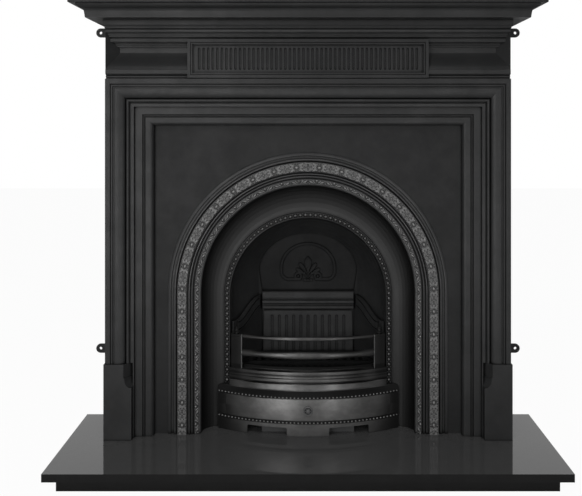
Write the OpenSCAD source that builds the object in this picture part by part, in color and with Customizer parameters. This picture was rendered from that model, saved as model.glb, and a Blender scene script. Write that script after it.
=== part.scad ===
// Cast iron arched fireplace with mantel, standing on a black stone hearth.
// Frame: X to the right, Y into the wall, Z up. Origin: centre of the hearth plinth's underside.
// Most pieces are drawn from the wall line at hearth level and placed by at_wall(), where a depth
// is the distance that a face stands in front of the wall.

/* [Hearth] */
// Width of the hearth slab
hearth_w = 1370; // [1300:10:1700]
// Depth of the hearth slab from the wall
hearth_d = 381; // [370:1:460]
// Thickness of the hearth slab
slab_t = 21; // [15:1:40]
// Height of the plinth under the slab
plinth_h = 37; // [20:1:80]
// How far the plinth stands back from the slab's edges
plinth_inset = 28; // [10:1:50]
// Depth of the back hearth inside the opening in the wall
back_hearth_d = 96; // [80:1:160]
// Width of the back hearth
back_hearth_w = 560; // [440:10:700]

/* [Surround] */
// Width of the surround over its jambs
body_w = 1156; // [1120:2:1260]
// Height of the surround to the frieze
body_h = 1029; // [960:1:1100]
// Depth of the surround's front fillet from the wall
body_d = 183; // [180:1:200]
// Wall thickness of the castings
wall_t = 6; // [5:0.5:8]
// Width of the large quarter-round moulding
ovolo_w = 28; // [22:0.5:29]
// Height of the plinth blocks
block_h = 216; // [180:1:260]
// Width of the plinth blocks at the base
block_w = 79.5; // [76:0.5:82]
// How far a block stands out past the surround, in front and outside
block_out = 3.5; // [1:0.5:6]
// Width taken off the top of a block on its inner side
block_step = 23; // [15:1:27]

/* [Frieze] */
// Height of the frieze board
frieze_h = 144; // [144:1:170]
// How far the board's ends stand in from the surround's sides
frieze_inset = 1; // [0:0.5:8]
// Width of the raised centre frame
frame_w = 687; // [560:1:760]
// Height of the raised centre frame
frame_h = 110; // [100:1:112]
// Border width of the centre frame
frame_border = 17; // [12:1:22]
// Number of flutes in the tablet
flute_count = 49; // [21:2:61]
// Width of one flute
flute_w = 7.4; // [5:0.1:8]

/* [Cornice and shelf] */
// Height of the cornice
crown_h = 60; // [60:1:80]
// How far the cornice stands out at its top
crown_out = 65; // [60:1:80]
// Thickness of the shelf
shelf_t = 21; // [15:1:40]
// How far the shelf stands out past the surround, in front and at each end
shelf_out = 80; // [70:1:110]

/* [Insert] */
// How far the insert panel's face stands back from the surround's front fillet
panel_setback = 46; // [40:1:52]
// How far the panel laps behind the surround
panel_lap = 34; // [20:1:34]
// Radius of the arched moulding's outer edge
arch_r = 407; // [390:1:415]
// Radius of the arched moulding's inner edge
reveal_r = 311; // [300:1:320]
// Height of the outer arch's centre above the hearth
arch_z = 410; // [380:1:430]
// Radius of the cove's inner edge
cove_r = 251; // [245:1:262]
// How far the cove's back edge stands back from the insert panel's face
cove_depth = 54; // [48:1:58]
// Height of the inner arch's centre above the hearth
ring_z = 388; // [370:1:400]
// Width of the beaded ring
ring_w = 23; // [18:1:26]

/* [Firebox] */
// Depth behind the wall line of the firebox's back
fire_back = 44; // [36:1:60]
// Half the clear width between the cheeks at the back
cheek_back_x = 143.5; // [136:0.5:150]
// Height of the hob rail at the front
rail_low_z = 295; // [290:1:310]
// Height of the hob rail at the back
rail_high_z = 345; // [340:1:350]
// Width of the hob rail
rail_w = 32; // [24:1:36]
// Height of the lintel's underside
lintel_z = 320; // [318:1:328]
// Height of the lintel
lintel_h = 54; // [46:1:56]
// Number of flutes in the fireback
fireback_flutes = 11; // [7:2:15]
// Greatest half width of the throat opening
throat_x = 155.5; // [150:0.5:158]
// Height of the throat opening's top
throat_top_z = 556; // [540:1:570]
// Radius of the damper's hinge pins
pin_r = 4; // [3:0.5:5]

/* [Grate and ash pit] */
// Plan radius of the bowed fronts, taken at the ash cover's face
bow_r = 580; // [540:5:640]
// How far the ash cover's face stands out from the insert panel at its middle
bow_out = 25; // [21:1:35]
// Width of the ash cover
cover_w = 534; // [520:2:540]
// Height of the ash cover
cover_h = 145; // [138:1:147]
// Height of the grate front's underside
grate_front_z = 150; // [150:1:156]
// Height of the top of the grate front's bars
grate_top_z = 281; // [276:1:290]
// Width over the grate front's posts
posts_w = 454; // [446:2:454]
// Width of one post
post_w = 33; // [24:1:38]
// Diameter of the round middle bar
round_bar_d = 19; // [12:1:22]
// Height of the bottom grate's top face
grate_z = 186; // [182:1:190]
// Number of bars in the bottom grate
grate_bars = 13; // [9:2:17]
// Width of the ash pan
pan_w = 270; // [220:2:272]
// Room between the ash pan's front and the face of its cover
pan_clear = 37; // [37:1:60]
// Height of the ash pan
pan_h = 58; // [40:1:70]

/* [Fixings] */
// Distance from the surround's side to a lug's screw hole
lug_out = 64; // [40:1:80]
// Diameter of a lug's screw hole
lug_hole_d = 9; // [6:0.5:11]
// Width of a lug
lug_w = 28; // [20:1:30]
// Height of the lower lugs above the hearth
lug_low_z = 206; // [120:1:206]
// Height of the upper lugs' holes above the frieze
lug_rise = 10; // [10:0.5:11]
// Diameter of the small fixing bolts
bolt_d = 6; // [5:0.5:8]

/* [Hidden] */

$fn = 64;
fit = 0.3;            // gap between curved or sliding neighbours
far = 2000;           // longer than any piece, for cutting shapes
hearth_top = plinth_h + slab_t;
wall_y = (hearth_d - plinth_inset) / 2;
half_w = body_w / 2;
panel_d = body_d - panel_setback;
cove_back_d = panel_d - cove_depth;
bow_d = panel_d + bow_out;
iron = [0.16, 0.16, 0.165];
dark_iron = [0.10, 0.10, 0.105];
burnished = [0.32, 0.32, 0.33];
stone = [0.05, 0.05, 0.055];
steel = [0.45, 0.46, 0.48];

// Points on an arc from angle a0 to angle a1, in n steps
function arc(cx, cy, r, a0, a1, n) =
    [for (i = [0:n]) [cx + r * cos(a0 + (a1 - a0) * i / n), cy + r * sin(a0 + (a1 - a0) * i / n)]];
function flip(points) = [for (i = [len(points) - 1:-1:0]) points[i]];
function ease(t) = t * t * (3 - 2 * t);
function clamp01(t) = max(0, min(1, t));

module at_wall() {
    translate([0, wall_y, hearth_top])
        children();
}

// Both sides of the fireplace: the drawn right-hand piece and its mirror image
module both_sides() {
    children();
    mirror([1, 0, 0])
        children();
}

// A block given by its lowest and highest x, depth in front of the wall, and height
module box(x0, x1, d0, d1, z0, z1) {
    translate([x0, -d1, z0])
        cube([x1 - x0, d1 - d0, z1 - z0]);
}

// Plate standing parallel to the wall between two depths, with an outline in x and z
module wall_plate(d0, d1) {
    translate([0, -d0, 0])
        rotate([90, 0, 0])
            linear_extrude(d1 - d0)
                children();
}

// ---------------------------------------------------------------- hearth

module hearth_plinth() {
    color(stone)
        translate([plinth_inset - hearth_w / 2, plinth_inset - hearth_d, 0])
            translate([0, wall_y, 0])
                cube([hearth_w - 2 * plinth_inset, hearth_d - plinth_inset, plinth_h]);
}

module hearth_slab() {
    color(stone)
        at_wall()
            box(-hearth_w / 2, hearth_w / 2, 0, hearth_d, -slab_t, 0);
}

module back_hearth() {
    color([0.35, 0.34, 0.33])
        at_wall()
            box(-back_hearth_w / 2, back_hearth_w / 2, -back_hearth_d, 0, -hearth_top, 0);
}

// ---------------------------------------------------------------- surround

face_w = 133;                 // width of the moulded face, from its outer edge to the panel
field_back_d = body_d - 31;   // depth of the moulded plate's back
inner_lip_w = 35;             // inner stretch of the face that is thick enough to reach the panel
panel_back_d = panel_d - wall_t;

ovolo_drop = 13.5;

// Section of the moulded frame: distance in from its outer edge, then depth from the wall
function frame_section() = concat(
    [[0, 0], [0, body_d], [14, body_d], [15, body_d - 3], [16.5, body_d - 3],
     [17.5, body_d - 0.5], [21, body_d - 0.5], [22.5, body_d - 3], [26, body_d - 3],
     [27, body_d - 0.5]],
    [for (a = [90:-6:0]) [56 - ovolo_w + ovolo_w * cos(a), body_d - ovolo_drop * (1 - sin(a)) - 0.4]],
    [[57, body_d - ovolo_drop - 1.2]],
    arc(62, body_d - 11.5, 4.8, 175, 5, 10),
    [[68, body_d - 14], [70, body_d - 14], [71, body_d - 12], [79, body_d - 13],
     [79.6, body_d - 22.5], [101, body_d - 23], [102, body_d - 26], [103, body_d - 26]],
    arc(105.5, body_d - 25, 2.2, 180, 0, 8),
    [[108, body_d - 27], [109.5, body_d - 27], [110.2, body_d - 24.5], [122, body_d - 25]],
    arc(122, body_d - 36, 11, 88, 0, 10),
    [[face_w, panel_d], [face_w - inner_lip_w, panel_d], [face_w - inner_lip_w, field_back_d],
     [wall_t, field_back_d], [wall_t, 0]]);

corner_reach = [24, 80];      // corner bolts' distances in from the surround's side and top
clip_z = [300, 760];
clip_t = 4;
clip_u = face_w - inner_lip_w - 11;
boss_r = 8;
mitre_reach = 200;

// Blind bore running forward from a face at depth d
module bolt_bore(x, z, d, length) {
    translate([x, 1 - d, z])
        rotate([90, 0, 0])
            cylinder(h = length + 1, d = bolt_d + 2 * fit);
}

// Hexagon-headed bolt whose head seats behind a face at depth d, its shank running forward
module hex_bolt(x, z, d, length) {
    translate([x, -d, z])
        rotate([90, 0, 0]) {
            cylinder(h = length, d = bolt_d);
            translate([0, 0, -bolt_d * 0.7])
                cylinder(h = bolt_d * 0.7, d = bolt_d * 2, $fn = 6);
        }
}

module jamb() {
    difference() {
        union() {
            difference() {
                translate([half_w, 0, 0])
                    linear_extrude(body_h)
                        polygon([for (p = frame_section()) [-p[0], -p[1]]]);
                wall_plate(-1, body_d + mitre_reach)
                    polygon([[half_w + 1, body_h + 1], [half_w - mitre_reach, body_h - mitre_reach],
                        [half_w - mitre_reach, body_h + 1]]);
                box(half_w + block_out - block_w - fit, half_w + 1, -1, far, -1, block_h + fit);
            }
            for (z = clip_z)
                wall_plate(panel_back_d, field_back_d + 1)
                    translate([half_w - clip_u, z])
                        circle(boss_r);
        }
        for (z = clip_z)
            bolt_bore(half_w - clip_u, z, panel_back_d, 18);
        bolt_bore(half_w - corner_reach[0], body_h - corner_reach[1], field_back_d, 12);
    }
}

module right_jamb() {
    color(iron)
        at_wall()
            jamb();
}

module left_jamb() {
    color(iron)
        at_wall()
            mirror([1, 0, 0])
                jamb();
}

module head_rail() {
    color(iron)
        at_wall()
            difference() {
                translate([0, 0, body_h])
                    rotate([90, 0, 90])
                        linear_extrude(body_w, center = true)
                            polygon([for (p = frame_section()) [-p[1], -p[0]]]);
                both_sides() {
                    wall_plate(-1, body_d + mitre_reach)
                        polygon([[half_w + 1, body_h + 1], [half_w + 1, body_h - mitre_reach],
                            [half_w - mitre_reach, body_h - mitre_reach]]);
                    bolt_bore(half_w - corner_reach[1], body_h - corner_reach[0], field_back_d, 12);
                }
            }
}

// Square plate bolted behind each mitre
module corner_plates() {
    color(steel)
        at_wall()
            both_sides()
                difference() {
                    box(half_w - 94, half_w - 10, field_back_d - clip_t, field_back_d,
                        body_h - 94, body_h - 10);
                    bolt_bore(half_w - corner_reach[0], body_h - corner_reach[1], field_back_d - 9, 12);
                    bolt_bore(half_w - corner_reach[1], body_h - corner_reach[0], field_back_d - 9, 12);
                }
}

module corner_bolts() {
    color(steel)
        at_wall()
            both_sides() {
                hex_bolt(half_w - corner_reach[0], body_h - corner_reach[1], field_back_d - clip_t, 14);
                hex_bolt(half_w - corner_reach[1], body_h - corner_reach[0], field_back_d - clip_t, 14);
            }
}

// Plinth block: a hollow box whose upper part steps in over a quarter round, with a splayed side
block_x1 = half_w + block_out;
block_x0 = block_x1 - block_w;
block_d = body_d + block_out;
splay_d = 30;                  // depth over which the inner side is splayed
round_h = 24;                  // height of the quarter round
neck_z = block_h - 38;         // foot of the block's stepped-in part

ledge_top_z = neck_z - round_h - 5;

// Front outline of the filling under the stepped-in part, measured inwards from its face
function block_edge() = concat(
    [[-2, ledge_top_z - 2], [block_step - 1, ledge_top_z - 2]],
    [for (i = [0:10]) [block_step - 1 - (block_step - 4) * sin(9 * i),
        ledge_top_z - 0.7 + round_h * (1 - cos(9 * i))]],
    [[3, neck_z - 1], [-2, neck_z + 1]]);

module plinth_block() {
    splay_a = atan2(block_step, splay_d);
    difference() {
        union() {
            box(block_x0, block_x1, 0, block_d, 0, ledge_top_z);
            linear_extrude(block_h)
                polygon([[block_x0, 0], [block_x0, splay_d - block_d],
                    [block_x0 + block_step, -block_d], [block_x1, -block_d], [block_x1, 0]]);
            intersection() {
                translate([block_x0 + block_step, -block_d, 0])
                    rotate([0, 0, splay_a])
                        translate([0, 60, 0])
                            rotate([90, 0, 0])
                                linear_extrude(120)
                                    polygon([for (p = block_edge()) [-p[0] * cos(splay_a), p[1]]]);
                box(block_x0, block_x1, block_d - splay_d - 2, block_d, 0, block_h);
            }
        }
        box(block_x0 + wall_t, block_x1 - wall_t, -1, block_d - splay_d - wall_t, -1, block_h - wall_t);
    }
}

module right_plinth_block() {
    color(iron)
        at_wall()
            plinth_block();
}

module left_plinth_block() {
    color(iron)
        at_wall()
            mirror([1, 0, 0])
                plinth_block();
}

// Ears at the wall line with the holes for the fixing screws
module fixing_lugs() {
    color(iron)
        at_wall()
            both_sides()
                wall_plate(0, 5)
                    for (lug = [[block_x1, lug_low_z], [half_w + crown_neck_out, crown_z + lug_rise]])
                        difference() {
                            union() {
                                translate([lug[0], lug[1] - lug_w / 2])
                                    square([half_w + lug_out - lug[0], lug_w]);
                                translate([half_w + lug_out, lug[1]])
                                    circle(lug_w / 2);
                            }
                            translate([half_w + lug_out, lug[1]])
                                circle(d = lug_hole_d);
                        }
}

// ---------------------------------------------------------------- frieze

frieze_x = half_w - frieze_inset;
scoop_z = [28, 77];            // foot and deepest line of the scooped part
scoop_d = 34;                  // how deep the scoop goes
frieze_back_d = body_d - scoop_d - wall_t;
tablet_seat_d = body_d - 16;   // depth of the face that the centre frame is set on

// Depth and height along the board's recessed face, from the foot of the scoop upwards
function scoop_face() = concat(
    [for (i = [0:12]) [body_d - 1.5 - (scoop_d - 1.5) * (0.6 * i / 12 + 0.4 * ease(i / 12)),
        scoop_z[0] + (scoop_z[1] - scoop_z[0]) * i / 12]],
    [[body_d - 33.5, 88], [body_d - 32, 92.5], [body_d - 26, 93], [body_d - 26, 96.5],
     [body_d - 24, 97.5], [body_d - 24, 101], [body_d - 22, 102], [body_d - 22, 104.5],
     [body_d - 13, 105.5], [body_d - 12, 108], [body_d - 12, 115.5], [body_d - 14.5, 116.5],
     [body_d - 14.5, 119.5], [body_d - 9, 120.5], [body_d - 8.5, 124], [body_d - 7, 125],
     [body_d - 7, 130], [body_d - 2.5, 131.5]]);

function frieze_section() = concat(
    [[frieze_back_d, 0], [body_d - 7, 0], [body_d - 7, 4], [body_d - 5, 4.5], [body_d - 5, 8],
     [body_d - 7, 9], [body_d - 5, 11], [body_d - 1, 13], [body_d, 15], [body_d, scoop_z[0] - 2]],
    scoop_face(),
    [[body_d - 1, 133.5], [body_d, 136.5], [body_d + 0.7, 139], [body_d, 141.5],
     [body_d - 1.5, 142.5], [body_d - 1.5, frieze_h], [frieze_back_d, frieze_h]]);

module at_frieze() {
    at_wall()
        translate([0, 0, body_h])
            children();
}

bracket_x = 300;
bracket_w = 30;
bracket_bolt_z = [62, 100];
frame_z = 2.5;

module frieze_board() {
    color(iron)
        at_frieze()
            difference() {
                union() {
                    rotate([90, 0, 90])
                        linear_extrude(2 * frieze_x, center = true)
                            polygon([for (p = frieze_section()) [-p[0], p[1]]]);
                    both_sides() {
                        // The mouldings stop against a face turned inwards at 45 degrees
                        translate([0, 0, scoop_z[0] - 1])
                            linear_extrude(132.5 - scoop_z[0])
                                polygon([[frieze_x, 1 - body_d], [frieze_x, -frieze_back_d],
                                    [frieze_x - body_d + 1 + frieze_back_d, -frieze_back_d]]);
                        box(frieze_x - wall_t, frieze_x, 0, frieze_back_d + 1, 0, frieze_h);
                    }
                    box(-frame_w / 2, frame_w / 2, frieze_back_d, tablet_seat_d,
                        frame_z, frame_z + frame_h);
                }
                box(-frame_w / 2 - fit, frame_w / 2 + fit, tablet_seat_d, far,
                    frame_z - fit, frame_z + frame_h + fit);
                both_sides()
                    for (z = bracket_bolt_z)
                        bolt_bore(bracket_x, z, frieze_back_d, 12);
            }
}

module frame_layer(inset, border, d) {
    wall_plate(tablet_seat_d, d)
        difference() {
            translate([inset - frame_w / 2, frame_z + inset])
                square([frame_w - 2 * inset, frame_h - 2 * inset]);
            translate([inset + border - frame_w / 2, frame_z + inset + border])
                square([frame_w - 2 * (inset + border), frame_h - 2 * (inset + border)]);
        }
}

module frieze_frame() {
    color(iron)
        at_frieze() {
            frame_layer(0, frame_border * 0.5, body_d + 1);
            frame_layer(0, frame_border * 0.62, body_d - 2);
            frame_layer(frame_border * 0.62, frame_border * 0.2, body_d);
            frame_layer(frame_border * 0.62, frame_border * 0.38, body_d - 5);
        }
}

// Slot with round ends, standing upright, from z0 to z1
module capsule(w, z0, z1) {
    translate([-w / 2, z0 + w / 2])
        square([w, z1 - z0 - w]);
    for (z = [z0 + w / 2, z1 - w / 2])
        translate([0, z])
            circle(d = w);
}

tablet_margin = 9;

module fluted_tablet() {
    inner_w = frame_w - 2 * frame_border - 2 * fit;
    inner_h = frame_h - 2 * frame_border - 2 * fit;
    pitch = (inner_w - tablet_margin * 2) / flute_count;
    color(iron)
        at_frieze()
            difference() {
                box(-inner_w / 2, inner_w / 2, tablet_seat_d, body_d - 8,
                    frame_z + frame_border + fit, frame_z + frame_border + fit + inner_h);
                wall_plate(body_d - 12, body_d)
                    for (i = [0:flute_count - 1])
                        translate([(i - (flute_count - 1) / 2) * pitch, frame_z + frame_border + fit])
                            capsule(flute_w, 6, inner_h - 6);
            }
}

// ---------------------------------------------------------------- cornice and shelf

// Solid block over the surround whose front and sides follow one edge profile, so that the profile
// mitres at the corners; edge lists distance out from the surround and height, from below upwards
module moulded_block(edge, back) {
    reach = half_w + far / 4;
    top = edge[len(edge) - 1][1];
    intersection() {
        rotate([90, 0, 90])
            linear_extrude(2 * reach, center = true)
                polygon(concat([[back, edge[0][1]]],
                    [for (p = edge) [-body_d - p[0], p[1]]], [[back, top]]));
        translate([0, back, 0])
            rotate([90, 0, 0])
                linear_extrude(reach)
                    polygon(concat([for (p = edge) [half_w + p[0], p[1]]],
                        [for (p = flip(edge)) [-half_w - p[0], p[1]]]));
    }
}

crown_neck_h = 24;
crown_neck_out = 4.8;
crown_z = body_h + frieze_h;
shelf_z = crown_z + crown_h;

module crown_moulding() {
    color(iron)
        at_wall()
            translate([0, 0, crown_z])
                difference() {
                    moulded_block([[1, 0], [1, 4], [2, 5.5], [crown_neck_out, 9],
                        [crown_neck_out, crown_neck_h], [crown_out - 21.5, crown_neck_h],
                        [crown_out - 20.5, 33], [crown_out - 19, crown_h - 17.5],
                        [crown_out - 15.8, crown_h - 12.5], [crown_out - 9.6, crown_h - 10],
                        [crown_out - 5.4, crown_h - 7.5], [crown_out - 2, crown_h - 4],
                        [crown_out, crown_h]], 0);
                    moulded_block([[-wall_t, -1], [-wall_t, crown_neck_h + wall_t + 1],
                        [crown_out - 28, crown_neck_h + wall_t + 1], [crown_out - 27, crown_h - 17],
                        [crown_out - 25, crown_h - 12], [crown_out - 20, crown_h - 7],
                        [crown_out - 13, crown_h - 4.5], [crown_out - 9, crown_h - 2.5],
                        [crown_out - 6.5, crown_h + 0.5]], 1);
                }
}

module mantel_shelf() {
    rim = shelf_out - crown_out + 15;
    color(iron)
        at_wall()
            translate([0, 0, shelf_z])
                difference() {
                    moulded_block([[shelf_out - 1.5, 0], [shelf_out, 1.5],
                        [shelf_out, shelf_t - 1.5], [shelf_out - 1.5, shelf_t]], 0);
                    moulded_block([[shelf_out - rim, -1], [shelf_out - rim, shelf_t - wall_t]], 1);
                }
}

// Angle irons between the frieze's back and the shelf's underside
module shelf_brackets() {
    bracket_top = frieze_h + crown_h + shelf_t - wall_t;
    color(steel)
        at_frieze()
            both_sides()
                difference() {
                    union() {
                        box(bracket_x - bracket_w / 2, bracket_x + bracket_w / 2,
                            frieze_back_d - clip_t, frieze_back_d, 40, bracket_top);
                        box(bracket_x - bracket_w / 2, bracket_x + bracket_w / 2,
                            60, frieze_back_d, bracket_top - clip_t, bracket_top);
                    }
                    for (z = bracket_bolt_z)
                        bolt_bore(bracket_x, z, frieze_back_d - 9, 12);
                }
}

module bracket_bolts() {
    color(steel)
        at_frieze()
            both_sides()
                for (z = bracket_bolt_z)
                    hex_bolt(bracket_x, z, frieze_back_d - clip_t, 14);
}

// ---------------------------------------------------------------- insert

spigot_r = arch_r - 23;        // radius of the moulding's stretch inside the panel's opening
panel_half_w = half_w - face_w + panel_lap;
panel_h = body_h - face_w + panel_lap;

// Arch outline with straight legs down to the hearth
module arch_outline(r, z) {
    intersection() {
        union() {
            translate([0, z])
                circle(r, $fn = 128);
            translate([-r, 0])
                square([2 * r, z]);
        }
        translate([-far, 0])
            square([2 * far, far]);
    }
}

// A section drawn as radius and depth, swept round an arch and down its legs
module arch_sweep(z) {
    translate([0, 0, z])
        rotate([90, 0, 0])
            rotate_extrude(angle = 180, $fn = 128)
                children();
    both_sides()
        linear_extrude(z)
            mirror([0, 1])
                children();
}

module insert_panel() {
    color(dark_iron)
        at_wall()
            wall_plate(panel_back_d, panel_d)
                difference() {
                    translate([-panel_half_w, 0])
                        square([2 * panel_half_w, panel_h]);
                    arch_outline(spigot_r + fit, arch_z);
                }
}

module panel_clips() {
    color(steel)
        at_wall()
            both_sides()
                for (z = clip_z)
                    difference() {
                        box(half_w - clip_u - 38, half_w - clip_u + 10,
                            panel_back_d - clip_t, panel_back_d, z - 10, z + 10);
                        bolt_bore(half_w - clip_u, z, panel_back_d - 9, 12);
                    }
}

module clip_bolts() {
    color(steel)
        at_wall()
            both_sides()
                for (z = clip_z)
                    hex_bolt(half_w - clip_u, z, panel_back_d - clip_t, 18);
}

reveal_back_d = panel_d - 10;  // where the cove starts

module arch_moulding() {
    a = arch_r;
    r = reveal_r;
    d = panel_d;
    color(iron)
        at_wall()
            arch_sweep(arch_z)
                polygon(concat(
                    [[spigot_r, d - wall_t], [spigot_r, d], [a, d], [a, d + 2], [a - 1, d + 3.5],
                     [a - 5.5, d + 4.5], [a - 8, d + 4], [a - 9, d + 0.6], [a - 17, d + 0.6],
                     [a - 18, d + 5.5], [a - 19.5, d + 6.3], [a - 22.5, d + 6.3], [a - 24, d + 5],
                     [a - 24.5, d + 3], [a - 26, d + 3], [a - 27, d + 6],
                     [a - 29, d + 7.5], [r + 41, d + 7.5], [r + 38.5, d + 6], [r + 37, d + 4],
                     [r + 36.5, d + 4], [r + 35.5, d + 8], [r + 32.5, d + 8], [r + 31.5, d + 3.5],
                     [r + 29.5, d + 3.5]],
                    arc(r + 26, d + 4, 3.2, 10, 170, 8),
                    [[r + 22.5, d + 2.5], [r + 21, d + 2.5], [r + 20, d + 4.5], [r + 18, d + 5],
                     [r + 5, d + 2.5], [r + 2, d + 1.5], [r + fit, d], [r + fit, reveal_back_d],
                     [r + 8, reveal_back_d], [r + 12, d - wall_t]]));
}

// One closed section of the cove: radius, depth and centre height, inner face then outer face
cove_steps = 9;
cove_t = 6;
function cove_section() = concat(
    [for (i = [0:cove_steps]) let (a = 90 * i / cove_steps)
        [reveal_r - (reveal_r - cove_r) * (1 - cos(a)),
         reveal_back_d - (reveal_back_d - cove_back_d) * sin(a),
         arch_z - (arch_z - ring_z) * (1 - cos(a))]],
    [[cove_r, cove_back_d - cove_t, ring_z], [cove_r + 24, cove_back_d - cove_t, ring_z]],
    [for (i = [cove_steps - 2:-1:0]) let (a = 90 * i / cove_steps)
        [reveal_r + cove_t - (reveal_r - cove_r) * (1 - cos(a)),
         reveal_back_d - (reveal_back_d - cove_back_d + cove_t) * sin(a),
         arch_z - (arch_z - ring_z) * (1 - cos(a))]]);

// Stations along an arch path: one at the foot of each leg and arch_steps + 1 round the arch
arch_steps = 36;
function on_arch(r, z, k) =
    k == 0 ? [r, 0] : k == arch_steps + 2 ? [-r, 0] :
    [r * cos(180 * (k - 1) / arch_steps), z + r * sin(180 * (k - 1) / arch_steps)];

// Faces of a closed tube of n rings with m points each; a ring's first half is its inner face and
// its second half its outer face, run back, so its ends close with strips between the two
function tube_faces(m, n) = concat(
    [for (j = [0:m / 2 - 2]) each [[j, j + 1, m - 2 - j], [j, m - 2 - j, m - 1 - j]]],
    [for (i = [0:n - 2]) for (j = [0:m - 1]) let (k = (j + 1) % m)
        [i * m + j, (i + 1) * m + j, (i + 1) * m + k]],
    [for (i = [0:n - 2]) for (j = [0:m - 1]) let (k = (j + 1) % m)
        [i * m + j, (i + 1) * m + k, i * m + k]],
    [for (j = [0:m / 2 - 2]) let (e = (n - 1) * m)
        each [[e + j, e + m - 2 - j, e + j + 1], [e + j, e + m - 1 - j, e + m - 2 - j]]]);

module cove_reveal() {
    section = cove_section();
    points = [for (k = [0:arch_steps + 2]) for (p = section) let (q = on_arch(p[0], p[2], k))
        [q[0], -p[1], q[1]]];
    color(dark_iron)
        at_wall()
            polyhedron(points, tube_faces(len(section), arch_steps + 3));
}

front_plate_d = cove_back_d - cove_t;
ring_r = cove_r - ring_w;      // inner radius of the beaded ring

module beaded_ring() {
    outer = cove_r - fit;
    color(iron)
        at_wall()
            arch_sweep(ring_z)
                polygon([[outer, front_plate_d], [outer, front_plate_d + 7],
                    [outer - 2, front_plate_d + 9], [outer - 4, front_plate_d + 9],
                    [outer - 4.5, front_plate_d + 6.5], [outer - 14, front_plate_d + 6.5],
                    [outer - 14.5, front_plate_d + 9], [outer - 17.5, front_plate_d + 9.5],
                    [outer - 19.5, front_plate_d + 7], [ring_r, front_plate_d + 3],
                    [ring_r, front_plate_d]]);
}

// ---------------------------------------------------------------- firebox

bolt_flange_x = ring_r + 20;
cheek_bolt_z = [60, 160, 260];

module firebox_front() {
    color(dark_iron)
        at_wall()
            difference() {
                wall_plate(front_plate_d - wall_t, front_plate_d)
                    difference() {
                        arch_outline(cove_r + 16, ring_z);
                        translate([0, -1])
                            arch_outline(ring_r + 2, ring_z + 1);
                    }
                both_sides()
                    for (z = cheek_bolt_z)
                        bolt_bore(bolt_flange_x, z, front_plate_d - 9, 12);
            }
}

// Plan line of the cheek's inner face, from its front edge to its back edge
cheek_a = [ring_r - 6.5, cove_back_d + 1];
cheek_b = [cheek_back_x, -fire_back];
cheek_len = norm(cheek_a - cheek_b);
cheek_turn = atan2(cheek_a[1] - cheek_b[1], cheek_b[0] - cheek_a[0]);
function cheek_x(d) = cheek_b[0] + (cheek_a[0] - cheek_b[0]) * (d - cheek_b[1]) / (cheek_a[1] - cheek_b[1]);
grate_t = 10;
ledge_w = 14;
ledge_top = grate_z - grate_t - 0.05;
rail_rise = 6;
cheek_bolt_flange_h = 290;
hood_seat_t = 6;
fireback_top_z = lintel_z - 4;
hook_z = 230;
hook_x = [ring_r - 22, ring_r - 13];
lug_front = cheek_a[1] + 6;    // depth of the front of the lugs the grate front hangs on

function rail_z(t) = rail_low_z + (rail_high_z - rail_low_z) * ease(clamp01((t - 0.13) / 0.75));
// Point at an offset square to the rail's S-shaped middle line, at fraction t of the cheek
function rail_point(t, offset) =
    let (slope = (rail_z(t + 0.01) - rail_z(t - 0.01)) / (0.02 * cheek_len),
        square_to = [-slope, 1] / norm([slope, 1]))
        [cheek_len * t, rail_z(t)] + offset * square_to;
function rail_line(offset, start = 0, end = 1) =
    [for (i = [0:24]) rail_point(start + (end - start) * i / 24, offset)];
rail_start = 0.11;
rail_end = (cheek_a[1] + fire_back - 20) / (cheek_a[1] + fire_back);
// Across the rail, in half widths: a thin bead, the broad band and a thin bead
rail_strips = [[-1, -0.78], [-0.59, 0.59], [0.78, 1]];

// Half width of the hood's foot, at fraction u of the way back, and outwards from it
function hood_foot_x(u, out) =
    ring_r + 2 + pow(u, 1.35) * (throat_x - ring_r - 1) + out;

// Right-hand cheek, drawn in its own plane: distance back from its front edge, then height
module cheek_plane(rise, thickness) {
    translate([cheek_a[0], -cheek_a[1], 0])
        rotate([0, 0, cheek_turn])
            translate([0, rise, 0])
                rotate([90, 0, 0])
                    linear_extrude(thickness)
                        children();
}

module cheek() {
    difference() {
        union() {
            cheek_plane(0, wall_t)
                polygon(concat([[cheek_len, 0], [0, 0]], rail_line(rail_w / 2)));
            for (strip = rail_strips * rail_w / 2)
                cheek_plane(rail_rise, rail_rise + 1)
                    polygon(concat(rail_line(strip[0], rail_start, rail_end),
                        flip(rail_line(strip[1], rail_start, rail_end))));
            cheek_plane(ledge_w, ledge_w + 1)
                translate([18, ledge_top - 6])
                    square([cheek_len - 30, 6]);
            box(cheek_x(front_plate_d - wall_t) + 1, cove_r + 11, front_plate_d - 2 * wall_t,
                front_plate_d - wall_t, 0, cheek_bolt_flange_h);
            box(hook_x[0], ring_r - 1.5, cheek_a[1] - 4, lug_front, hook_z - 16, hook_z);
            // Seat the hood stands on
            translate([0, 0, cheek_bolt_flange_h - hood_seat_t])
                linear_extrude(hood_seat_t)
                    polygon(concat(
                        [for (u = [0:0.25:1]) [hood_foot_x(u, hood_t + 1),
                            u * (hood_front_d + fire_back) - hood_front_d]],
                        [[cheek_x(-fire_back) + 2, fire_back],
                            [cheek_x(hood_front_d) + 2, -hood_front_d]]));
        }
        for (z = cheek_bolt_z)
            bolt_bore(bolt_flange_x, z, front_plate_d - 2 * wall_t - 2, 12);
        box(0, far, -far, -fire_back, -1, far);
    }
}

module right_cheek() {
    color(dark_iron)
        at_wall()
            cheek();
}

module left_cheek() {
    color(dark_iron)
        at_wall()
            mirror([1, 0, 0])
                cheek();
}

module cheek_bolts() {
    color(steel)
        at_wall()
            both_sides()
                for (z = cheek_bolt_z)
                    hex_bolt(bolt_flange_x, z, front_plate_d - 2 * wall_t, 2 * wall_t);
}

throat_z = lintel_z + lintel_h;
throat_mid_z = throat_z + 63;
throat_foot_x = throat_x - 9.5;

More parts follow.
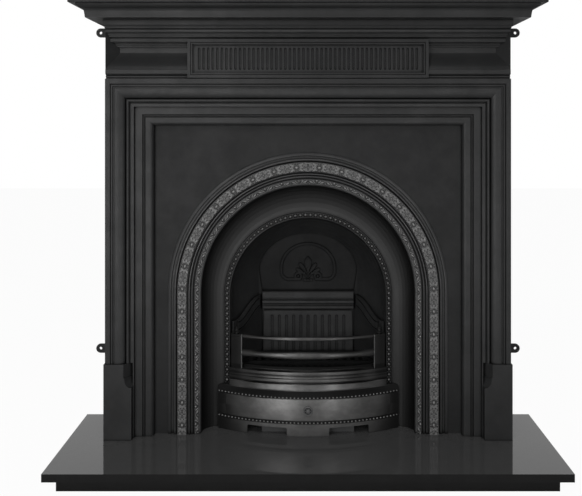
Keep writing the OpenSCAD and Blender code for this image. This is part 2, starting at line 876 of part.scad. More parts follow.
// Outline of the throat opening, let out all round
function throat_points(out) = concat(
    [[throat_foot_x + out, throat_z - out]],
    [for (i = [0:32]) [(throat_x + out) * cos(180 * i / 32),
        throat_mid_z + (throat_top_z - throat_mid_z + out) * sin(180 * i / 32)]],
    [[-throat_foot_x - out, throat_z - out]]);

// Hood: rings of points along the arch, from the firebox front back to the throat
hood_foot_z = cheek_bolt_flange_h + 0.2;
hood_steps = 6;
hood_t = 6;
hood_front_d = front_plate_d - wall_t;

function hood_front(k, r) =
    k == 0 ? [r, hood_foot_z] : k == arch_steps + 2 ? [-r, hood_foot_z] : on_arch(r, ring_z, k);
function hood_back(k, r) =
    k == 0 ? [r, hood_foot_z] : k == arch_steps + 2 ? [-r, hood_foot_z] :
    [r * cos(180 * (k - 1) / arch_steps),
     throat_mid_z + (throat_top_z - throat_mid_z + r - throat_x) * sin(180 * (k - 1) / arch_steps)];

function hood_ring(k) = concat(
    [for (i = [0:hood_steps]) let (u = i / hood_steps, w = pow(u, 1.35))
        concat((1 - w) * hood_front(k, ring_r + 2) + w * hood_back(k, throat_x + 1), u)],
    [for (i = [hood_steps:-1:0]) let (u = i / hood_steps, w = pow(u, 1.35))
        concat((1 - w) * hood_front(k, ring_r + 2 + hood_t) + w * hood_back(k, throat_x + 1 + hood_t), u)]);

module hood() {
    points = [for (k = [0:arch_steps + 2]) for (p = hood_ring(k))
        [p[0], p[2] * (hood_front_d + fire_back) - hood_front_d, p[1]]];
    color(dark_iron)
        at_wall()
            polyhedron(points, tube_faces(2 * hood_steps + 2, arch_steps + 3));
}

throat_back_d = -fire_back - wall_t;
pin_z = throat_z - 5;
pin_d = throat_back_d - 18;
lug_x = throat_x + 1;
ear_x = throat_foot_x - 8;
damper_t = 6;
running = 0.05;                // radial clearance of a pin in its hole

// Bore or pin along X at the damper's hinge line
module hinge_rod(x, length, r) {
    translate([x, -pin_d, pin_z])
        rotate([0, 90, 0])
            cylinder(h = length, r = r);
}

// Plate round the flue throat, with the two lugs that carry the damper's pins
module throat_frame() {
    color(dark_iron)
        at_wall()
            difference() {
                union() {
                    wall_plate(throat_back_d, -fire_back)
                        difference() {
                            translate([-throat_x - 20, fireback_top_z + 0.2])
                                square([2 * throat_x + 40, throat_top_z + 32 - fireback_top_z]);
                            polygon(throat_points(0));
                        }
                    both_sides()
                        box(lug_x, lug_x + 8, pin_d - 9, throat_back_d, pin_z - 10, pin_z + 10);
                }
                both_sides()
                    hinge_rod(lug_x - 1, 10, pin_r + running);
            }
}

// Domed damper plate, hinged along its foot behind the throat
module register_plate() {
    front_d = throat_back_d - fit;
    color(dark_iron)
        at_wall()
            difference() {
                union() {
                    wall_plate(front_d - damper_t, front_d)
                        polygon(throat_points(5));
                    wall_plate(front_d - 1, front_d + 2.5)
                        dee(88);
                    both_sides() {
                        box(ear_x, ear_x + 10, pin_d + 2, front_d - damper_t + 1, pin_z - 5, pin_z + 6);
                        hinge_rod(ear_x, 10, 8);
                    }
                }
                wall_plate(front_d, front_d + 4) {
                    dee(81);
                    translate([-24, throat_z])
                        square([48, 50]);
                }
                both_sides()
                    hinge_rod(ear_x - 1, 12, pin_r + running);
            }
}

// Raised border on the damper, half width w
module dee(w) {
    foot = throat_z + 119 - w;
    polygon(concat(
        [for (i = [0:24]) [w * cos(7.5 * i), throat_mid_z + 8 + (w - 8) * sin(7.5 * i)]],
        arc(-w + 24, foot + 24, 24, 180, 270, 8),
        arc(w - 24, foot + 24, 24, 270, 360, 8)));
}

module register_pins() {
    color(steel)
        at_wall()
            both_sides() {
                hinge_rod(ear_x - 2, lug_x + 10 - ear_x, pin_r);
                hinge_rod(lug_x + 8, 3, pin_r + 2.5);
            }
}

module fireback() {
    pad_top_z = fireback_top_z - 4;
    pad_x = [cheek_back_x - 5.5, cheek_back_x - 0.5];
    pitch = 2 * pad_x[0] / (fireback_flutes + 1.2);
    color(iron)
        at_wall()
            difference() {
                union() {
                    box(-cheek_back_x - 22, cheek_back_x + 22,
                        -fire_back - 10, -fire_back, 0, fireback_top_z);
                    wall_plate(-fire_back - 1, 5 - fire_back)
                        polygon([[pad_x[1], 0], [pad_x[1], 120], [pad_x[0], pad_top_z],
                            [-pad_x[0], pad_top_z], [-pad_x[1], 120], [-pad_x[1], 0]]);
                }
                wall_plate(1 - fire_back, 6 - fire_back)
                    for (i = [0:fireback_flutes - 1])
                        translate([(i - (fireback_flutes - 1) / 2) * pitch, 0])
                            capsule(pitch * 0.42, 130, pad_top_z - 13);
            }
}

module hob_lintel() {
    h = lintel_h;
    d = 14;
    color(iron)
        at_wall()
            translate([0, fire_back, lintel_z])
                rotate([90, 0, 90])
                    linear_extrude(2 * (cheek_back_x - 0.5), center = true)
                        polygon(concat(
                            [[0, 0], [-d + 1, 0], [-d, 1], [-d, 7.5], [-d + 3, 9], [-d + 3, 13]],
                            [for (p = arc(-10, 20.5, 6.8, -85, -275, 12)) [p[0] * 1.1, p[1]]],
                            [[-d + 3, 28], [-d + 3, 32], [-d, 34], [-d, h - 3], [-d + 2, h - 1],
                             [-d + 4, h], [0, h]]));
}

// ---------------------------------------------------------------- grate and ash pit

grate_gap = 4;
grate_front_d = front_plate_d - 11;
grate_back_d = 10 - fire_back;
cheek_slant = (cheek_a[0] - cheek_b[0]) / (cheek_a[1] - cheek_b[1]);

// Plan outline of the bottom grate, taken in all round
module grate_outline(inset) {
    side = (grate_gap + inset) / cos(atan(cheek_slant));
    front = grate_front_d - inset;
    back = grate_back_d + inset;
    polygon([[cheek_x(front) - side, -front], [side - cheek_x(front), -front],
        [side - cheek_x(back), -back], [cheek_x(back) - side, -back]]);
}

module bottom_grate() {
    pitch = 2 * cheek_x(grate_front_d) / (grate_bars + 4);
    color(dark_iron)
        at_wall()
            translate([0, 0, grate_z - grate_t])
                linear_extrude(grate_t)
                    difference() {
                        grate_outline(0);
                        intersection() {
                            grate_outline(12);
                            for (i = [0:grate_bars + 2])
                                translate([(i - (grate_bars + 2) / 2) * pitch - pitch * 0.28, -far / 2])
                                    square([pitch * 0.56, far]);
                        }
                    }
}

bow_y = bow_r - bow_d;         // centre of the bowed fronts, behind the wall line
bow_half_a = 32;

// Depth from the wall of a bowed face of plan radius r, at distance x from the middle
function bow_depth(r, x) = sqrt(r * r - x * x) - bow_y;

// A section drawn as plan radius and height, swept round the bow and cut off square at x0 and x1
module bow_sweep(x0, x1, d0) {
    intersection() {
        translate([0, bow_y, 0])
            rotate([0, 0, 270 - bow_half_a])
                rotate_extrude(angle = 2 * bow_half_a, $fn = 256)
                    children();
        box(x0, x1, d0, far, -1, 400);
    }
}

bar_r = bow_r - 14;            // plan radius of the bars' middle
bar_z = grate_front_z + 78.5;
sill_h = 31;                   // height of the grate front's moulded sill
inner_lip_h = 9;               // low lip behind the sill that keeps the fuel in
finial_x = posts_w / 2 - post_w / 2;

module grate_front() {
    z = grate_front_z;
    r = bow_r;
    sill_top = z + sill_h;
    lip_w = posts_w / 2 + 6;
    color(iron)
        at_wall() {
            bow_sweep(-lip_w, lip_w, 0)
                polygon([[r - 20, z], [r - 9, z], [r - 6, z + 2], [r - 4.5, z + 5], [r - 4.5, z + 8],
                    [r - 6.5, z + 11.5], [r - 10, z + 13.5], [r - 11.5, z + 16.5],
                    [r - 11, z + 19.5], [r - 8.5, z + 21.5], [r - 7.5, z + 24],
                    [r - 7.5, sill_top - 3], [r - 9, sill_top], [r - 20, sill_top]]);
            // The inner shelf stops short of the cheeks' hook lugs, so that the front can rise
            bow_sweep(1 - hook_x[0], hook_x[0] - 1, cheek_a[1] + 2)
                polygon([[r - 36, sill_top - 6], [r - 15, sill_top - 6], [r - 15, sill_top - 0.5],
                    [r - 30, sill_top - 0.5], [r - 30, sill_top + inner_lip_h - 1.5],
                    [r - 31.5, sill_top + inner_lip_h], [r - 36, sill_top + inner_lip_h]]);
            bow_sweep(-posts_w / 2, posts_w / 2, 0)
                polygon([[bar_r - 5, grate_top_z - 8], [bar_r + 3, grate_top_z - 8],
                    [bar_r + 4.5, grate_top_z - 6], [bar_r + 4.5, grate_top_z - 2],
                    [bar_r + 3, grate_top_z], [bar_r - 5, grate_top_z]]);
            bow_sweep(-posts_w / 2 + post_w - 2, posts_w / 2 - post_w + 2, 0)
                translate([bar_r - 1, bar_z])
                    circle(d = round_bar_d);
            both_sides() {
                bow_sweep(posts_w / 2 - post_w, posts_w / 2, 0)
                    translate([bar_r - 5, sill_top - 1])
                        square([8.5, grate_top_z - sill_top]);
                bow_sweep(posts_w / 2 - post_w, posts_w / 2 - post_w + 3, 0)
                    translate([bar_r - 5, sill_top - 1])
                        square([11, grate_top_z - sill_top]);
                box(hook_x[0], hook_x[1], cheek_a[1] - 9, bow_depth(bar_r - 1, finial_x),
                    hook_z, hook_z + 12);
                box(hook_x[0], hook_x[1], cheek_a[1] - 9, cheek_a[1] - 5, hook_z - 8, hook_z + 1);
            }
        }
}

module post_finials() {
    color(burnished)
        at_wall()
            both_sides()
                translate([finial_x, -bow_depth(bar_r - 0.5, finial_x), grate_top_z])
                    rotate_extrude()
                        polygon(concat([[0, 0], [4.2, 0], [3.6, 3], [7.5, 5]],
                            arc(7.5, 6.2, 1.2, -90, 90, 6),
                            [[4.5, 8.5]],
                            arc(0, 12, 5.6, -20, 60, 8),
                            [[1.6, 19], [1, 21], [0, 21.6]]));
}

vent_x = [61, 177];
vent_h = 25;
vent_round = 5;
skirt_z = 40;                  // height of the lower bead
ledge_z = cover_h - 33.5;      // height of the upper bead
neck_r = bow_r - 14.5;
bead_string_r = 2.4;
shoulder_d = cove_back_d + 8;
rosette_z = 75;
rosette_stem_r = 3;

// Opening at the foot of the ash cover, with rounded upper corners
module vent_outline() {
    translate([vent_x[0], -1])
        square([vent_x[1] - vent_x[0], vent_h + 1 - vent_round]);
    translate([vent_x[0] + vent_round, -1])
        square([vent_x[1] - vent_x[0] - 2 * vent_round, vent_h + 1]);
    for (x = [vent_x[0] + vent_round, vent_x[1] - vent_round])
        translate([x, vent_h - vent_round])
            circle(vent_round);
}

module ash_cover() {
    r = bow_r;
    w = cover_w / 2;
    color(burnished)
        at_wall()
            difference() {
                union() {
                    bow_sweep(-w, w, shoulder_d - 4)
                        polygon(concat(
                            [[r, 0], [r, skirt_z - 6], [r - 1.5, skirt_z - 4]],
                            arc(r, skirt_z, bead_string_r, -80, 80, 8),
                            [[r - 1.5, skirt_z + 4], [r, skirt_z + 6], [r + 0.8, (skirt_z + ledge_z) / 2],
                             [r, ledge_z - 6], [r - 1.5, ledge_z - 4]],
                            arc(r, ledge_z, bead_string_r, -80, 80, 8),
                            [[r - 1, ledge_z + 4.5], [neck_r + 1.5, ledge_z + 16], [neck_r - 8, ledge_z + 16],
                             [r - 7, ledge_z + 1], [r - 6, ledge_z - 3], [r - 6, 0]]));
                    bow_sweep(-posts_w / 2 - 6, posts_w / 2 + 6, shoulder_d)
                        polygon([[neck_r - 6, ledge_z + 9], [neck_r, ledge_z + 12], [neck_r, cover_h - 2],
                            [neck_r - 1.5, cover_h], [neck_r - 6, cover_h]]);
                    both_sides() {
                        bow_sweep(posts_w / 2 - 10, w, shoulder_d)
                            polygon([[r - 60, ledge_z + 4], [r - 4, ledge_z + 4], [neck_r, ledge_z + 16],
                                [r - 60, ledge_z + 16]]);
                        bow_sweep(w - 5, w, shoulder_d - 2)
                            translate([r - 60, 0])
                                square([59, ledge_z + 5]);
                    }
                }
                both_sides()
                    wall_plate(0, bow_d + 10)
                        vent_outline();
                translate([0, 0, rosette_z])
                    rotate([90, 0, 0])
                        cylinder(h = bow_d + 10, r = rosette_stem_r + 0.2);
            }
}

module cover_rosette() {
    face_d = bow_d + 1;
    color(burnished)
        at_wall()
            translate([0, -face_d, rosette_z])
                rotate([90, 0, 0]) {
                    rotate_extrude()
                        polygon(concat([[0, 0], [13, 0], [13, 1.5]],
                            arc(11.2, 1.8, 1.8, 0, 170, 8),
                            [[8.8, 1.2], [5.6, 1.2]], arc(3.4, 2, 2, -20, 120, 8), [[0, 4.4]]));
                    for (i = [0:7])
                        rotate([0, 0, 45 * i])
                            translate([6.8, 0, 0.6])
                                cylinder(h = 1.8, r = 1.9);
                    translate([0, 0, -12])
                        cylinder(h = 13, r = rosette_stem_r);
                    translate([0, 0, -12])
                        cylinder(h = 4.6, r = 6.5, $fn = 6);
                }
}

pan_t = 2;
pan_back_d = 14 - fire_back;
pan_front_d = bow_d - pan_clear;
handle_w = 60;
handle_z = 34;

module ash_pan() {
    color(steel)
        at_wall()
            difference() {
                union() {
                    box(-pan_w / 2, pan_w / 2, pan_back_d, pan_front_d, 0, pan_h);
                    box(-pan_w / 2 - 3, pan_w / 2 + 3, pan_back_d - 3, pan_front_d + 3, pan_h - 3, pan_h);
                }
                box(pan_t - pan_w / 2, pan_w / 2 - pan_t, pan_back_d + pan_t, pan_front_d - pan_t,
                    pan_t, pan_h + 1);
            }
}

module pan_handle() {
    color(steel)
        at_wall() {
            both_sides()
                box(handle_w / 2 - 5, handle_w / 2, pan_front_d, pan_front_d + 16, handle_z, handle_z + 10);
            box(-handle_w / 2, handle_w / 2, pan_front_d + 11, pan_front_d + 16, handle_z, handle_z + 10);
        }
}

hearth_plinth();
hearth_slab();
back_hearth();
left_plinth_block();
right_plinth_block();
left_jamb();
right_jamb();
head_rail();
frieze_board();
frieze_frame();
fluted_tablet();
crown_moulding();
mantel_shelf();
fixing_lugs();
corner_plates();
corner_bolts();
shelf_brackets();
bracket_bolts();
insert_panel();
panel_clips();
clip_bolts();
arch_moulding();
cove_reveal();
beaded_ring();
firebox_front();
left_cheek();
right_cheek();
cheek_bolts();
hood();
throat_frame();
fireback();
hob_lintel();
register_plate();
register_pins();
bottom_grate();
grate_front();
post_finials();
ash_cover();
cover_rosette();
ash_pan();
pan_handle();
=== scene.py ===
"""Looks of the cast iron arched fireplace: finishes, the cast ornament, light and camera."""

import math

import bpy
from mathutils import Matrix, Vector


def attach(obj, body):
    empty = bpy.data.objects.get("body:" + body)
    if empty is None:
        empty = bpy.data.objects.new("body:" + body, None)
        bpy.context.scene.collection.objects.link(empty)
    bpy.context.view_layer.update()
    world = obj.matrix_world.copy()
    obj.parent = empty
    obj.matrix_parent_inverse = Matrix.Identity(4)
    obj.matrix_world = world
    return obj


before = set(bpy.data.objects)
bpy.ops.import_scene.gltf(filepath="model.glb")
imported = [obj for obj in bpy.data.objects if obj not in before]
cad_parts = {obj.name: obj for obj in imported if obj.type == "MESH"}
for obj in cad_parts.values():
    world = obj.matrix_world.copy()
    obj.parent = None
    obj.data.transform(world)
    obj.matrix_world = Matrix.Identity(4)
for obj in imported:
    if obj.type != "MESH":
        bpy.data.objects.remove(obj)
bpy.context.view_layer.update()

# Sizes in millimetres, as the solids have them: depths are measured from the wall, heights from
# the top of the hearth.
WALL_Y = 176.5
HEARTH_TOP = 58.0
ARCH_CENTRE = 410.0      # height of the outer arch's centre
LEAF_RADIUS = 365.0      # middle line of the broad ornament band on it
LEAF_DEPTH = 145.0
SCROLL_RADIUS = 322.5    # middle line of the narrow band
SCROLL_DEPTH = 140.6
RING_CENTRE = 388.0      # height of the beaded ring's centre
RING_FOOT = 123.0        # where its beads start
BEAD_RADIUS = 241.4
BEAD_DEPTH = 83.6
SEED_RADII = (("outer", 245.2), ("inner", 237.4))
SEED_DEPTH = 83.8
BOW_RADIUS = 580.0       # plan radius of the ash cover's face
BOW_CENTRE = 418.0       # how far that circle's centre lies behind the wall
COVER_BEAD_REACH = 263.0     # half width of the cover's bead rows
COVER_BEAD_HEIGHTS = (("lower", 40.0), ("upper", 111.5))
DAMPER_FACE = -50.3
PALMETTE_FOOT = 402.0


def place(x, depth, z):
    """A point given from the wall and the hearth's top, in the frame's metres."""
    return Vector((x / 1000, (WALL_Y - depth) / 1000, (HEARTH_TOP + z) / 1000))


# ------------------------------------------------------------------ nodes as expressions


class Value:
    """A socket of a node tree. Its operators add Math nodes."""

    def __init__(self, tree, socket):
        self.tree = tree
        self.socket = socket

    def _math(self, operation, *values):
        return self.tree.node("ShaderNodeMath", {"operation": operation}, *values)

    def __add__(self, other):
        return self._math("ADD", self, other)

    __radd__ = __add__

    def __sub__(self, other):
        return self._math("SUBTRACT", self, other)

    def __rsub__(self, other):
        return self._math("SUBTRACT", other, self)

    def __mul__(self, other):
        return self._math("MULTIPLY", self, other)

    __rmul__ = __mul__

    def __pow__(self, other):
        return self._math("POWER", self, other)

    def __gt__(self, other):
        return self._math("GREATER_THAN", self, other)

    def __lt__(self, other):
        return self._math("LESS_THAN", self, other)

    def most(self, other):
        return self._math("MAXIMUM", self, other)

    def blend(self, low, high, start=0.0, end=1.0):
        """Runs from start to end as this value goes from low to high."""
        return self.tree.node("ShaderNodeMapRange", {"interpolation_type": "SMOOTHSTEP"},
                              self, low, high, start, end)

    def unsigned(self):
        return (self * self) ** 0.5

    def out(self, name):
        """Another output of the node that this value comes from."""
        return Value(self.tree, self.socket.node.outputs[name])

    def split(self):
        """The x, y and z of a vector."""
        x = self.tree.node("ShaderNodeSeparateXYZ", None, self)
        return x, x.out("Y"), x.out("Z")


class Tree:
    """Adds nodes to a shader or geometry tree."""

    def __init__(self, nodes, links):
        self.nodes = nodes
        self.links = links

    def node(self, kind, settings=None, *values, output=0, **named):
        """Adds one node: its settings first, then its sockets in order, then those named."""
        made = self.nodes.new(kind)
        for name, setting in (settings or {}).items():
            setattr(made, name, setting)
        for socket, value in zip(made.inputs, values):
            self.feed(socket, value)
        self.feed_named(made, named)
        return Value(self, made.outputs[output])

    def feed(self, socket, value):
        """Links a value to a socket, or writes a plain number or colour on it."""
        if value is None:
            return
        if isinstance(value, Value):
            self.links.new(value.socket, socket)
        else:
            socket.default_value = value

    def feed_named(self, made, named):
        for name, value in named.items():
            self.feed(made.inputs[name.replace("_", " ")], value)

    def end(self, kind, value):
        """Adds the tree's output node and feeds it."""
        self.feed(self.nodes.new(kind).inputs[0], value)


def grey(level, warmth=0.0):
    """A near-neutral colour."""
    return (level * (1 + warmth), level, level * (1 - warmth), 1.0)


class Finish(Tree):
    """A procedural material on one Principled shader."""

    def __init__(self, name, **constants):
        self.material = bpy.data.materials.new(name)
        self.material.use_nodes = True
        tree = self.material.node_tree
        tree.nodes.clear()
        super().__init__(tree.nodes, tree.links)
        self.shader = self.surface = self.node("ShaderNodeBsdfPrincipled", None, **constants)
        self.where = self.node("ShaderNodeTexCoord", output="Object")

    def noise(self, size_mm, detail=2.0, roughness=0.5, stretch=None):
        """Noise whose blobs are about that large on the object."""
        where = self.where
        if stretch:
            where = self.node("ShaderNodeMapping", None, where, Scale=stretch)
        return self.node("ShaderNodeTexNoise", {"noise_dimensions": "3D"}, Vector=where,
                         Scale=1000.0 / size_mm, Detail=detail, Roughness=roughness)

    def colour_between(self, factor, first, second):
        """Mixes two colours. The node's colour sockets come after five that numbers use."""
        unused = [None] * 5
        return self.node("ShaderNodeMix", {"data_type": "RGBA"}, factor, *unused, first, second,
                         output=2)

    def bump(self, height, distance_mm, strength=1.0, over=None):
        return self.node("ShaderNodeBump", None, Strength=strength, Distance=distance_mm / 1000,
                         Height=height, Normal=over)

    def paint_recess_shade(self, reach_mm, least, most, brushed=1.0):
        """Painted shade: recesses found by ambient occlusion turn dull and nearly black: fully so
        where the surface is open by least, not at all where it is open by most."""
        openness = self.node("ShaderNodeAmbientOcclusion", {"samples": 8}, output="AO",
                             Distance=reach_mm / 1000)
        dull = self.node("ShaderNodeBsdfPrincipled", None, grey(0.003), Roughness=0.7,
                         Specular_IOR_Level=0.05)
        self.surface = self.node("ShaderNodeMixShader", None,
                                 openness.blend(least, most) * brushed, dull, self.shader)

    def paint(self, **channels):
        """Feeds the shader's channels and closes the material."""
        self.feed_named(self.shader.socket.node, channels)
        self.end("ShaderNodeOutputMaterial", self.surface)
        return self.material


def black_iron(name, low, high, shine, grain_mm, grain_depth, specular,
               recess_shade=(11, 0.25, 0.92)):
    """Black-leaded casting: fine sand grain and faint clouds between two tones, with painted
    shade in its recesses. The shine is its roughness, and the grain's size and depth are in
    millimetres."""
    iron = Finish(name, Specular_IOR_Level=specular)
    cloud = iron.noise(70, 4.0, 0.55)
    smear = iron.noise(16, 3.0, 0.6)
    grain = iron.noise(grain_mm, 3.0, 0.6)
    patches = cloud * 0.65 + smear * 0.35
    colour = iron.colour_between(patches.blend(0.3, 0.7), grey(low, -0.02), grey(high, -0.01))
    rough = (patches.blend(0.3, 0.7, shine + 0.05, shine - 0.05)
             + grain.blend(0.3, 0.7, -0.03, 0.03))
    swell = iron.bump(iron.noise(45, 2.0), 0.35, 0.25)
    # Painted shade in the recesses.
    if recess_shade:
        iron.paint_recess_shade(*recess_shade)
    return iron.paint(Base_Color=colour, Roughness=rough,
                      Normal=iron.bump(grain, grain_depth, 0.5, swell))


def arch_radius(finish, centre_mm):
    """Distance in metres from an arch's middle line: its radius above the centre, x below."""
    x, _, z = finish.where.split()
    above = (z - (HEARTH_TOP + centre_mm) / 1000).most(0.0)
    return (x * x + above * above) ** 0.5


COVE_SEAM = (0.2545, 0.2565)     # radii in metres between which the dark seam ends
COVE_HIGHLIGHT = (0.260, 0.290)      # and between which the painted highlight beside it fades out


def cove_finish():
    """Smooth black cove: beside the beaded ring a painted highlight makes it lighter and less
    rough, fading further out, and it is dull in the seam against the ring."""
    cove = Finish("smooth black cove", Specular_IOR_Level=0.26)
    radius = arch_radius(cove, RING_CENTRE)
    # Painted highlight: lighter and smoother beside the ring, fading outwards; darker in the
    # seam.
    shade = radius.blend(*COVE_HIGHLIGHT, 1.0, 0.0) * radius.blend(*COVE_SEAM)
    cloud = cove.noise(60, 3.0, 0.5)
    colour = cove.colour_between(shade * 0.75 + cloud * 0.25, grey(0.002), grey(0.009))
    rough = cloud.blend(0.3, 0.7, 0.42, 0.36) + (1.0 - shade) * 0.1
    # Painted shade in the recesses.
    cove.paint_recess_shade(9, 0.2, 0.8)
    return cove.paint(Base_Color=colour, Roughness=rough,
                      Normal=cove.bump(cove.noise(1.8, 2.0), 0.04, 0.4))


def rubbed_iron(name, hollow, crest, shine, top_mm):
    """Ornament rubbed bright on its crests: the tone follows the stored height of the relief."""
    iron = Finish(name, Specular_IOR_Level=0.6)
    height = iron.node("ShaderNodeAttribute", {"attribute_name": "relief"}, output="Fac")
    wear = iron.noise(9, 3.0, 0.6)
    wear_and_painted_highlight = (height * (1.0 / top_mm) + (wear - 0.5) * 0.3).blend(0.15, 1.05)
    colour = iron.colour_between(wear_and_painted_highlight, grey(hollow), grey(crest, 0.01))
    rough = wear_and_painted_highlight.blend(0.0, 1.0, shine + 0.16, shine)
    metal = wear_and_painted_highlight.blend(0.3, 1.0, 0.0, 0.75)
    grain = iron.bump(iron.noise(1.2, 2.0), 0.05, 0.5)
    return iron.paint(Base_Color=colour, Roughness=rough, Metallic=metal, Normal=grain)


BAND_EDGE = 0.0006       # half of the soft edge of a band of painted shade, in metres
ARRIS_HIGHLIGHT_TONE = grey(0.25)   # painted highlight on an arris


def polished_iron(name, dull, bright, shine, ends, foot, painted_shade_bands=(), arris=None):
    """Graphite-polished iron, brushed so that its sheen spreads up and down. Painted shade: its
    shine and colour fade along ends (from x, to x, what is left) and foot (from z, to z, what is
    left), in metres, and it is painted black in level bands, in millimetres over the hearth. An
    arris (from x, to x, over z) gets a painted highlight."""
    iron = Finish(name, Specular_IOR_Level=0.2, Anisotropic=0.95, Anisotropic_Rotation=0.25)
    x, _, z = iron.where.split()
    off_middle = x.unsigned()
    cloud = iron.noise(70, 2.0, 0.5)
    swell = iron.noise(26, 2.0, 0.5, stretch=(1.0, 1.0, 0.4))
    near_end, far_end, left_at_end = ends
    # Painted shade: shine and colour fall off towards the ends and the foot.
    polish_and_painted_light = off_middle.blend(near_end, far_end, 1.0, left_at_end) * z.blend(*foot)
    # Painted shade: each level band is painted black.
    for low, high in painted_shade_bands:
        away = z - (HEARTH_TOP + (low + high) / 2) / 1000
        half = (high - low) / 2000
        polish_and_painted_light = polish_and_painted_light * away.unsigned().blend(half - BAND_EDGE, half + BAND_EDGE)
    smear = iron.noise(14, 4.0, 0.6, stretch=(0.6, 1.0, 1.0))
    colour = iron.colour_between(polish_and_painted_light * (cloud * 0.5 + smear * 0.5).blend(0.35, 0.65, 0.7, 1.0),
                                 grey(dull), grey(bright, 0.01))
    # Painted highlight: a bright, fully shining line up the arris.
    if arris:
        near, far, low = arris
        wear_and_painted_highlight = (off_middle > near) * (off_middle < far) * (z > low)
        colour = iron.colour_between(wear_and_painted_highlight, colour, ARRIS_HIGHLIGHT_TONE)
        polish_and_painted_light = polish_and_painted_light.most(wear_and_painted_highlight)
    rough = cloud.blend(0.3, 0.7, shine + 0.03, shine - 0.03) + (1.0 - polish_and_painted_light) * 0.3
    # Painted shade in the recesses, less of it where the iron shines.
    iron.paint_recess_shade(8, 0.2, 0.85, polish_and_painted_light.blend(0.0, 0.5, 0.45, 1.0))
    return iron.paint(Base_Color=colour, Roughness=rough, Metallic=polish_and_painted_light * 0.95,
                      Normal=iron.bump(swell, 0.4, 0.5))


def polished_granite():
    """Black granite: fine crystals, nearly black edges, and a waxed top that mirrors the fire.
    The top's colour is a painted lighter grey, as light from above would make it.
    """
    stone = Finish("polished black granite", Specular_IOR_Level=0.28, Coat_Roughness=0.03)
    crystals = stone.noise(1.6, 2.0, 0.7)
    clouds = stone.noise(30, 3.0, 0.5)
    grain = crystals.blend(0.3, 0.7) * 0.7 + clouds.blend(0.3, 0.7) * 0.3
    _, _, facing_up = stone.node("ShaderNodeNewGeometry", output="Normal").split()
    upward = facing_up.blend(0.3, 0.8)
    # Painted light: the top is painted a lighter grey than the near-black edges.
    sides = stone.colour_between(grain, grey(0.001), grey(0.006))
    top = stone.colour_between(grain, grey(0.054), grey(0.064))
    colour = stone.colour_between(upward, sides, top)
    rough = clouds.blend(0.3, 0.7, 0.04, 0.07)
    return stone.paint(Base_Color=colour, Roughness=rough, Coat_Weight=upward * 0.35)


def mill_steel():
    """Plain rolled steel, lightly oiled."""
    steel = Finish("plain mill steel", Specular_IOR_Level=0.5)
    rolled = steel.noise(5, 4.0, 0.6, stretch=(0.1, 1.0, 1.0))
    cloud = steel.noise(40, 3.0)
    tone = rolled * 0.5 + cloud * 0.5
    colour = steel.colour_between(tone.blend(0.3, 0.7), grey(0.16), grey(0.27, 0.01))
    return steel.paint(Base_Color=colour, Metallic=0.9,
                       Roughness=tone.blend(0.3, 0.7, 0.5, 0.36),
                       Normal=steel.bump(rolled, 0.04, 0.4))


# Each black iron has its two tones, its shine, its grain's size and depth, its gloss, and how far
# and how deep the painted shade in its recesses reaches.
surround_iron = black_iron("satin black surround", 0.012, 0.018, 0.42, 1.4, 0.05, 0.22)
panel_iron = black_iron("matt black panel", 0.010, 0.014, 0.52, 1.6, 0.07, 0.15, None)
moulding_iron = black_iron("rubbed black moulding", 0.014, 0.022, 0.36, 1.4, 0.05, 0.3,
                           (14, 0.45, 0.97))
cove_iron = cove_finish()
hearth_iron = black_iron("matt black firebox", 0.012, 0.018, 0.52, 1.5, 0.08, 0.2,
                         (11, 0.35, 0.95))
# Painted shade: a darker, less glossy copy of the firebox iron for the throat, damper and bottom
# grate deep inside the fireplace.
deep_shade_iron = black_iron("deep shade iron", 0.009, 0.013, 0.62, 1.5, 0.08, 0.08, (9, 0.4, 0.95))
pan_iron = black_iron("grey ash pan", 0.030, 0.040, 0.6, 1.6, 0.05, 0.3, None)
# Painted shade: the cover darkens towards its ends and foot, and in two level bands.
cover_iron = polished_iron("burnished ash cover", 0.010, 0.165, 0.38,
                           ends=(0.15, 0.262, 0.03), foot=(0.05, 0.17, 0.35),
                           painted_shade_bands=((36.2, 43.8), (107.8, 126.5)))
# Painted shade: the grate darkens towards its ends and in one level band; the posts' inner arris
# gets a painted highlight.
bar_iron = polished_iron("burnished grate", 0.008, 0.085, 0.38,
                         ends=(0.14, 0.22, 0.12), foot=(0.1, 0.2, 1.0),
                         painted_shade_bands=((182, 194),), arris=(0.1935, 0.1965, 0.241))
rosette_iron = black_iron("rubbed rosette", 0.045, 0.08, 0.34, 1.4, 0.05, 0.5, (4, 0.5, 0.95))
ring_iron = black_iron("black beaded ring", 0.006, 0.010, 0.4, 1.4, 0.05, 0.2, (12, 0.5, 0.97))
leaf_iron = rubbed_iron("rubbed leaf band", 0.008, 0.17, 0.37, 4.2)
scroll_iron = rubbed_iron("rubbed scroll band", 0.008, 0.23, 0.36, 3.8)
pearl_iron = rubbed_iron("rubbed pearls", 0.008, 0.13, 0.38, 4.4)
bead_iron = rubbed_iron("rubbed cover beads", 0.008, 0.18, 0.38, 3.6)
fixing_steel = mill_steel()
granite = polished_granite()

